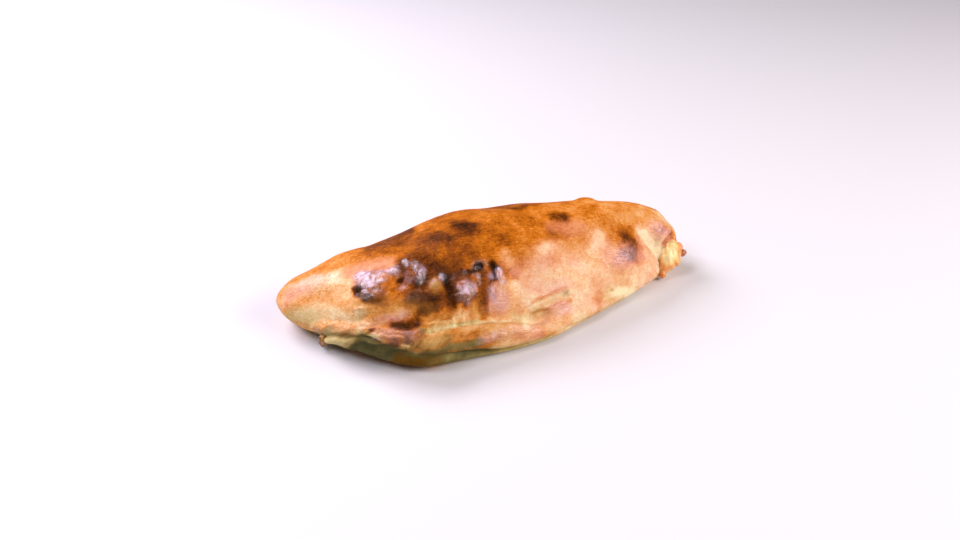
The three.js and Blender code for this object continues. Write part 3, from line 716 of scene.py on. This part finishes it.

# Painted sheen: where the skin is painted pinker, as the lamps' sheen on its oil makes it.
PAINTED_SHEEN = [
    ([(-94, 13), (-84, 14), (-73, 16)], 5, 0.5, 0.9),
    ((-9, 68), (6, 10), 0.9, 0.7),
    ((84, 47), (10, 8), 0.6, 0.8),
    ([(89, 39), (103, 43)], 5, 0.75, 0.8),
    ((108, 33), (4, 4), 0.5, 0.8),
    ([(40, 24), (56, 24)], 6, 0.35, 0.9),
    ((35, 78), (9, 5), 1, 0.7),
    ((13, 60), (12, 8), 0.5, 0.8),
    ((33, 62), (12, 6), 0.8, 0.8),
    ((6, 93), (14, 5), 0.4, 0.8),
    ((-24, 94), (6, 2.4), 0.7, 0.7),
    ((124, 18), (7, 6), 0.4, 0.8),
    ([(-132, 10), (-116, 10)], 5, 0.6, 0.8),
    ((5, 52), (5, 4), 0.6, 0.8),
    ((-77, 57), (9, 3), 0.5, 0.8),
    ((18, 63), (10, 6), 0.7, 0.8),
    ([(-84, 66), (-74, 71), (-64, 74)], 4, 0.2, 0.8),
]

# A thin film of oil lies all over the skin, and the edges of all patches are ragged.
THIN_OIL = 0.03
ragged = 0.22 * noise(x, g, 6, 101)


def near_to(place, half, edge):
    """1 well inside a place or path, 0 well outside, with a ragged edge between."""
    if isinstance(place, list):
        inside = by_path(wander_x, wander_g, place, half)
    else:
        inside = in_oval(wander_x, wander_g, place, half)
    return smooth(0.5 + (inside + ragged) / (2 * edge))


def strongest(rows):
    """The largest share that any of the rows gives each place."""
    value = np.zeros(x.shape)
    for place, half, share, edge in rows:
        value = np.maximum(value, share * near_to(place, half, edge))
    return value


top, slope = (np.interp(x, *zip(*rows)) for rows in (TOP_LEVEL, SLOPE_LEVEL))
border, width = (np.interp(wander_x, *zip(*rows)) for rows in (BORDER, BORDER_WIDTH))
browned = smooth(0.5 + (border - wander_g + 3 * noise(x, g, 14, 121)) / width)
far_side_fade = smooth((g + 95) / 40)
bake = mix(slope, top, browned * far_side_fade)
# The patches, and after them the painted shade of the underside.
for place, half, level, share, edge in PATCHES + PAINTED_SHADE_AND_LIGHT:
    bake = mix(bake, level, share * near_to(place, half, edge))
bake = bake + 0.025 * noise(x, g, 16, 91) + 0.045 * noise(x, g, 5, 95)

raw, soaked, ashy = strongest(RAW), strongest(SOAKED), strongest(ASH_AND_HIGHLIGHTS)
right_half, not_dark = smooth((x + 15) / 30), smooth((0.9 - bake) / 0.4)
# A broad painted sheen on the pale skin of the right half, which the side window faces.
right_painted_sheen = 0.42 * right_half * (1 - browned) * (1 + 0.7 * noise(x, g, 12, 141))
rosy = np.maximum(right_painted_sheen, strongest(PAINTED_SHEEN)) * (1 - raw) * not_dark
# Painted highlights are stronger on the ridges of the wrinkles.
ashy = np.clip(ashy * (0.9 + 0.5 * ridges), 0, 1)
oil = np.maximum(strongest(OILED), THIN_OIL)
oil = np.clip(oil * (1 + 0.3 * noise(x, g, 3.2, 111, 2)), 0, 1)

# ---- Crust: its mesh and finish --------------------------------------------------
# The rings joined into one closed skin, which carries the browning, the painted shade and
# the painted sheen and highlights as attributes. Baked dough is matt, and glossy where oil
# lies on it.


def shell(rings, start, end):
    """Vertices and faces of a closed skin: rings of points, then a tip at each end."""
    count, around = rings.shape[:2]
    faces = []
    for i in range(count - 1):
        for j in range(around):
            a, b = i * around + j, i * around + (j + 1) % around
            faces.append((a, a + around, b + around, b))
    first, last, final = count * around, count * around + 1, (count - 1) * around
    for j in range(around):
        k = (j + 1) % around
        faces += [(first, j, k), (last, final + k, final + j)]
    return np.concatenate([rings.reshape(-1, 3), [start, end]]), faces


def mesh_object(name, vertices, faces, values):
    mesh = bpy.data.meshes.new(name)
    mesh.from_pydata((vertices + TO_MIDDLE) * METRES, [], faces)
    for key, value in values.items():
        mesh.attributes.new(key, "FLOAT", "POINT").data.foreach_set("value", np.ravel(value))
    mesh.shade_smooth()
    piece = bpy.data.objects.new(name, mesh)
    scene.collection.objects.link(piece)
    return piece


def ring_values(value):
    """A value on the rings as one for each vertex of their shell."""
    return np.concatenate([value.T.ravel(), [value[0, 0], value[0, -1]]])


tips = [(-HALF_LENGTH, middle_y[0], middle_z[0]), (HALF_LENGTH, middle_y[-1], middle_z[-1])]
masks = {"bake": bake, "raw": raw, "rosy": rosy, "soaked": soaked, "oil": oil, "ashy": ashy,
         "scorched": scorched}
crust = mesh_object("crust_skin", *shell(dough.transpose(1, 0, 2), *tips),
                    {key: ring_values(value) for key, value in masks.items()})


def node(tree, kind, inputs=(), **settings):
    """Adds a node; inputs maps its sockets to values or to the sockets that feed them."""
    made = tree.nodes.new(kind)
    for key, value in settings.items():
        setattr(made, key, value)
    for key, value in dict(inputs).items():
        if isinstance(value, bpy.types.NodeSocket):
            tree.links.new(value, made.inputs[key])
        else:
            made.inputs[key].default_value = value
    return made


def attribute(tree, name):
    return node(tree, "ShaderNodeAttribute", attribute_name=name).outputs["Fac"]


def math_node(tree, operation, a, b):
    return node(tree, "ShaderNodeMath", {0: a, 1: b}, operation=operation).outputs[0]


def blend(tree, share, a, b):
    """Colour a, with a share of colour b mixed in."""
    mixer = node(tree, "ShaderNodeMix", data_type="RGBA")
    for socket, value in zip((mixer.inputs[0], mixer.inputs[6], mixer.inputs[7]), (share, a, b)):
        if isinstance(value, bpy.types.NodeSocket):
            tree.links.new(value, socket)
        else:
            socket.default_value = value
    return mixer.outputs[2]


def lumps_group():
    """Noise in the object's own space, its lumps Size mm wide and stretched along x.

    Value runs from 0 to 1; Swing lies about 0 and is Strength wide.
    """
    group = bpy.data.node_groups.new("lumps", "ShaderNodeTree")
    for name in ("Size", "Detail", "Stretch", "Strength"):
        group.interface.new_socket(name=name, in_out="INPUT", socket_type="NodeSocketFloat")
    for name in ("Value", "Swing"):
        group.interface.new_socket(name=name, in_out="OUTPUT", socket_type="NodeSocketFloat")
    given = node(group, "NodeGroupInput").outputs
    place = node(group, "ShaderNodeTexCoord").outputs["Object"]
    squeeze = node(group, "ShaderNodeCombineXYZ", {
        "X": math_node(group, "DIVIDE", 1.0, given["Stretch"]), "Y": 1.0, "Z": 1.0}).outputs[0]
    place = node(group, "ShaderNodeVectorMath", {0: place, 1: squeeze},
                 operation="MULTIPLY").outputs[0]
    value = node(group, "ShaderNodeTexNoise", {
        "Vector": place, "Detail": given["Detail"],
        "Scale": math_node(group, "DIVIDE", 1 / METRES, given["Size"])}).outputs["Fac"]
    swing = math_node(group, "SUBTRACT", value, 0.5)
    swing = math_node(group, "MULTIPLY", swing, given["Strength"])
    node(group, "NodeGroupOutput", {"Value": value, "Swing": swing})
    return group


lumps_noise = lumps_group()


def lumps(tree, size, detail=3.0, stretch=1.0, strength=None):
    """The noise's value, or its swing where a strength is given."""
    made = node(tree, "ShaderNodeGroup", {
        "Size": size, "Detail": detail, "Stretch": stretch, "Strength": strength or 0.0},
        node_tree=lumps_noise)
    return made.outputs["Swing" if strength else "Value"]


def colour_ramp(tree, share, stops):
    ramp = node(tree, "ShaderNodeValToRGB", {"Fac": share})
    ramp.color_ramp.elements.remove(ramp.color_ramp.elements[1])
    for i, (place, colour) in enumerate(stops):
        stop = ramp.color_ramp.elements[0] if i == 0 else ramp.color_ramp.elements.new(place)
        stop.position = place
        stop.color = (*colour, 1)
    return ramp.outputs["Color"]


def finish(name, **constants):
    """A material and its shader, with the constants on the shader's own sockets."""
    material = bpy.data.materials.new(name)
    material.use_nodes = True
    principled = material.node_tree.nodes["Principled BSDF"]
    for key, value in constants.items():
        principled.inputs[key.replace("_", " ")].default_value = value
    return material, material.node_tree, principled


def baked_dough():
    material, tree, principled = finish(
        "baked_dough", Roughness=0.68, Specular_IOR_Level=0.04, Coat_Roughness=0.15,
        Coat_IOR=1.9, Subsurface_Weight=0.08, Subsurface_Radius=(1.0, 0.4, 0.15),
        Subsurface_Scale=0.003)
    bake, scorched = attribute(tree, "bake"), attribute(tree, "scorched")

    # Grain of several sizes, stronger on pale dough than on dark or raw.
    grain = lumps(tree, 2.6, 5.0, strength=0.255)
    speckle = lumps(tree, 8.0, strength=0.255)
    pores = lumps(tree, 1.1, 2.0, strength=0.3)
    streaks = lumps(tree, 1.3, 4.0, 6.0, strength=0.17)
    even = math_node(tree, "ADD", math_node(tree, "MULTIPLY", attribute(tree, "raw"), 0.8),
                     math_node(tree, "MULTIPLY", bake, 0.7))
    even = math_node(tree, "SUBTRACT", 1.55, even)
    spread = math_node(tree, "ADD", math_node(tree, "ADD", grain, streaks),
                       math_node(tree, "ADD", speckle, pores))
    shade = math_node(tree, "ADD", bake, math_node(tree, "MULTIPLY", spread, even))
    baked = colour_ramp(tree, shade, [
        (0.0, (0.82, 0.73, 0.44)), (0.15, (0.79, 0.56, 0.29)), (0.30, (0.742, 0.405, 0.168)),
        (0.45, (0.67, 0.268, 0.056)), (0.60, (0.53, 0.148, 0.006)), (0.75, (0.27, 0.066, 0.002)),
        (0.88, (0.11, 0.026, 0.001)), (1.0, (0.03, 0.008, 0.001)),
    ])
    # Raw dough, from its own pale cream at 0 to painted shade of it further along.
    unbaked_and_shaded = colour_ramp(tree, shade, [
        (0.0, (0.80, 0.72, 0.40)), (0.30, (0.56, 0.42, 0.16)), (0.45, (0.36, 0.27, 0.09)),
        (0.60, (0.185, 0.15, 0.045)), (0.75, (0.075, 0.066, 0.020)), (1.0, (0.01, 0.008, 0.003)),
    ])
    sheen_pink, amber, ash_highlight_colour = (0.80, 0.47, 0.49, 1), (0.14, 0.06, 0.001, 1), (0.68, 0.51, 0.59, 1)
    # Painted sheen: pink mixed into the colour where the lamps' sheen falls.
    sheen_share = math_node(tree, "MULTIPLY", attribute(tree, "rosy"), 0.42)
    colour = blend(tree, sheen_share, baked, sheen_pink)
    colour = blend(tree, attribute(tree, "raw"), colour, unbaked_and_shaded)
    colour = blend(tree, attribute(tree, "soaked"), colour, amber)
    # Painted highlights: ash-lilac, broken into flecks, over the ashy skin of the blisters.
    flaky = math_node(tree, "SUBTRACT", lumps(tree, 3.2), 0.3)
    flaky = math_node(tree, "MULTIPLY", flaky, 3.5)
    flaky = node(tree, "ShaderNodeClamp", {"Value": flaky}).outputs[0]
    ashy = math_node(tree, "MULTIPLY", attribute(tree, "ashy"), flaky)
    colour = blend(tree, ashy, colour, ash_highlight_colour)

    # Wrinkles on scorched skin, and a fine grain and short streaks all over.
    wrinkles = math_node(tree, "MULTIPLY", lumps(tree, 2.4, 4.0), scorched)
    wrinkles = math_node(tree, "MULTIPLY", wrinkles, 0.9)
    height = math_node(tree, "ADD", lumps(tree, 1.2, 5.0, strength=0.4),
                       lumps(tree, 1.4, 3.0, 6.0, strength=0.5))
    height = math_node(tree, "ADD", height, wrinkles)
    bump = node(tree, "ShaderNodeBump", {"Height": height, "Strength": 1.0, "Distance": METRES})

    tree.links.new(colour, principled.inputs["Base Color"])
    tree.links.new(attribute(tree, "oil"), principled.inputs["Coat Weight"])
    tree.links.new(bump.outputs["Normal"], principled.inputs["Normal"])
    tree.links.new(bump.outputs["Normal"], principled.inputs["Coat Normal"])
    return material


crust.data.materials.append(baked_dough())
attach(crust, "root")
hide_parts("crust")

# ---- Cheese at the open end ---------------------------------------------------------
# Melted cheese that has run out of the seam: a core with lobes swelling out of it,
# streaked as it ran and toasted where it stands out. A drop hangs below it, and a crisp
# crumb sits on its outer side.

OOZE_GRID = (60, 96)
BEAD_GRID = (18, 26)
OOZE_MIDDLE = np.array([129.5, 12, 15.5])
OOZE_CORE = 7.5
# Where each lobe's tip lies from the middle, how narrow it is, and how far it is toasted.
LOBES = [
    ((-5, 9, 1), 3, 0.3),  # root inside the seam
    ((10, -2.5, 5), 7, 0.62),  # outer
    ((6.5, -8.5, -5), 8, 0.5),  # lower
    ((-2, -10.5, 2.5), 4, 0.06),  # front
    ((1.5, -3, 9.5), 6, 0.12),  # top
    ((-5.8, -9.6, -9.4), 7, 0.5),  # foot
]


def ball(rows, columns):
    """Unit directions in rows from the top to the bottom of a ball, its tips left out."""
    tilt = np.arange(1, rows)[:, None] / rows * math.pi
    turn = np.arange(columns)[None] / columns * 2 * math.pi
    level = np.broadcast_to(np.cos(tilt), (rows - 1, columns))
    return np.stack([np.sin(tilt) * np.cos(turn), np.sin(tilt) * np.sin(turn), level], axis=-1)


def ooze_radius(way):
    radius = OOZE_CORE
    for to, tight, _ in LOBES:
        reach = math.hypot(*to)
        radius = radius + (reach - OOZE_CORE) * np.exp(tight * (way @ np.divide(to, reach) - 1))
    streaks = np.sin(way @ [9, 7, 1.5] + 1.0) * np.sin(way @ [4, -11, 2] + 0.5)
    folds = np.sin(way @ [17, 13, 4]) * np.sin(way @ [-8, 19, 5] + 2.0)
    return radius + 0.55 * streaks + 0.22 * folds


def bead(middle, half):
    """Vertices and faces of a lumpy little ball."""
    way = ball(*BEAD_GRID)
    swell = 1 + 0.1 * np.sin(way @ [7, 5, 3]) * np.sin(way @ [3, -6, 5] + 1)
    points = np.array(middle) + way * half * swell[..., None]
    top, bottom = np.add(middle, (0, 0, half[2])), np.subtract(middle, (0, 0, half[2]))
    return shell(points, top, bottom)


def joined(parts):
    """Several closed skins as one: vertices, faces and a value for each vertex."""
    starts = np.cumsum([0] + [len(vertices) for vertices, _, _ in parts])
    faces = [tuple(v + start for v in face)
             for start, part in zip(starts, parts) for face in part[1]]
    values = [np.broadcast_to(value, len(vertices)) for vertices, _, value in parts]
    return np.concatenate([part[0] for part in parts]), faces, np.concatenate(values)


way = ball(*OOZE_GRID)
up, down = np.array([0, 0, 1.0]), np.array([0, 0, -1.0])
ooze_points = OOZE_MIDDLE + way * ooze_radius(way)[..., None]
closeness = [np.exp(12 * (way @ np.divide(to, math.hypot(*to)) - 1)) for to, _, _ in LOBES]
toasted = sum(c * lobe[2] for c, lobe in zip(closeness, LOBES)) / sum(closeness)
toasted = toasted + 0.14 * np.sin(way @ [12, 6, 3]) * np.sin(way @ [5, -14, 4])
ooze_vertices, ooze_faces = shell(ooze_points, OOZE_MIDDLE + up * ooze_radius(up),
                                  OOZE_MIDDLE + down * ooze_radius(down))
vertices, faces, toasted = joined([
    (ooze_vertices, ooze_faces, np.append(np.ravel(toasted), [0.2, 0.5])),
    (*bead((123.2, 1.6, 4.6), (2.6, 2.6, 3.2)), 0.62),  # drop
    (*bead((140.2, 8.2, 15.4), (3.2, 2.2, 2.6)), 0.78),  # crumb
])
cheese = mesh_object("cheese_ooze_skin", vertices, faces, {"toasted": toasted})


def melted_cheese():
    material, tree, principled = finish(
        "melted_cheese", Roughness=0.35, Coat_Weight=0.6, Coat_Roughness=0.15,
        Subsurface_Weight=0.15, Subsurface_Radius=(1.0, 0.6, 0.25), Subsurface_Scale=0.003)
    grain = lumps(tree, 2.5, strength=0.25)
    colour = colour_ramp(tree, math_node(tree, "ADD", attribute(tree, "toasted"), grain), [
        (0.0, (0.93, 0.76, 0.36)), (0.25, (0.90, 0.58, 0.18)), (0.45, (0.80, 0.34, 0.08)),
        (0.65, (0.74, 0.22, 0.03)), (0.85, (0.24, 0.06, 0.012)), (1.0, (0.07, 0.025, 0.01)),
    ])
    bump = node(tree, "ShaderNodeBump", {
        "Height": lumps(tree, 1.6), "Strength": 0.5, "Distance": METRES})
    tree.links.new(colour, principled.inputs["Base Color"])
    tree.links.new(bump.outputs["Normal"], principled.inputs["Normal"])
    return material


cheese.data.materials.append(melted_cheese())
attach(cheese, "root")
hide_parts("cheese_ooze")

# ---- Cheese drip under the left tip -------------------------------------------------
# One drop of cheese and oil that ran out under the lip at the left, browned to a dark
# amber and set there, hard and glossy.

drip = mesh_object("cheese_drip_skin", *bead((-116.6, -19.5, 6.7), (3.3, 3.3, 4.4)), {})


def browned_cheese():
    material, tree, principled = finish(
        "browned_cheese", Roughness=0.2, Coat_Weight=0.7, Coat_Roughness=0.06,
        Subsurface_Weight=0.1, Subsurface_Radius=(1.0, 0.5, 0.1), Subsurface_Scale=0.002)
    colour = colour_ramp(tree, lumps(tree, 4), [
        (0.3, (0.06, 0.02, 0.002)), (0.5, (0.22, 0.08, 0.006)), (0.7, (0.50, 0.24, 0.03))])
    tree.links.new(colour, principled.inputs["Base Color"])
    return material


drip.data.materials.append(browned_cheese())
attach(drip, "root")
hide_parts("cheese_drip")

# ---- Floor, light and camera ------------------------------------------------------
# A plain pale floor and three soft lamps, as from windows behind and on either side,
# with the lens shifted to set the calzone in frame.

bpy.ops.mesh.primitive_plane_add(size=6)
floor = bpy.context.object
floor.name = "floor"
paint, _, _ = finish("pale_floor", Base_Color=(0.7, 0.7, 0.7, 1), Roughness=0.8)
floor.data.materials.append(paint)

target = Vector(TO_MIDDLE * METRES)


def direction(azimuth, elevation):
    """A unit vector towards azimuth, from the front round to the right, and elevation."""
    a, e = math.radians(azimuth), math.radians(elevation)
    return Vector((math.sin(a) * math.cos(e), -math.cos(a) * math.cos(e), math.sin(e)))


def soft_lamp(name, azimuth, elevation, distance, size, power, colour):
    """A flat lamp that faces the calzone."""
    lamp = bpy.data.lights.new(name, "AREA")
    lamp.shape = "RECTANGLE"
    lamp.size, lamp.size_y = size
    lamp.energy = power
    lamp.color = colour
    holder = bpy.data.objects.new(name, lamp)
    way = direction(azimuth, elevation)
    holder.location = target + way * distance
    holder.rotation_euler = way.to_track_quat("Z", "Y").to_euler()
    scene.collection.objects.link(holder)


soft_lamp("back window", -138, 42, 1.2, (0.78, 0.6), 17, (0.94, 0.86, 1.0))
soft_lamp("side window", 56, 30, 1.3, (1.0, 0.65), 17, (1.0, 0.90, 0.90))
soft_lamp("left window", -72, 52, 1.3, (0.45, 0.45), 7, (0.95, 0.88, 1.0))

world = bpy.data.worlds.new("studio")
scene.world = world
world.use_nodes = True
world.node_tree.nodes["Background"].inputs["Color"].default_value = (1, 1, 1, 1)
world.node_tree.nodes["Background"].inputs["Strength"].default_value = 0.12

CAMERA_DISTANCE = 0.7
lens = bpy.data.cameras.new("camera")
lens.lens = 39.02
lens.shift_x, lens.shift_y = -0.01424, 0.0381
camera = bpy.data.objects.new("camera", lens)
way = direction(azimuth=-16, elevation=32)
camera.location = target + way * CAMERA_DISTANCE
camera.rotation_euler = way.to_track_quat("Z", "Y").to_euler()
scene.collection.objects.link(camera)
scene.camera = camera
scene.view_settings.view_transform = "Standard"
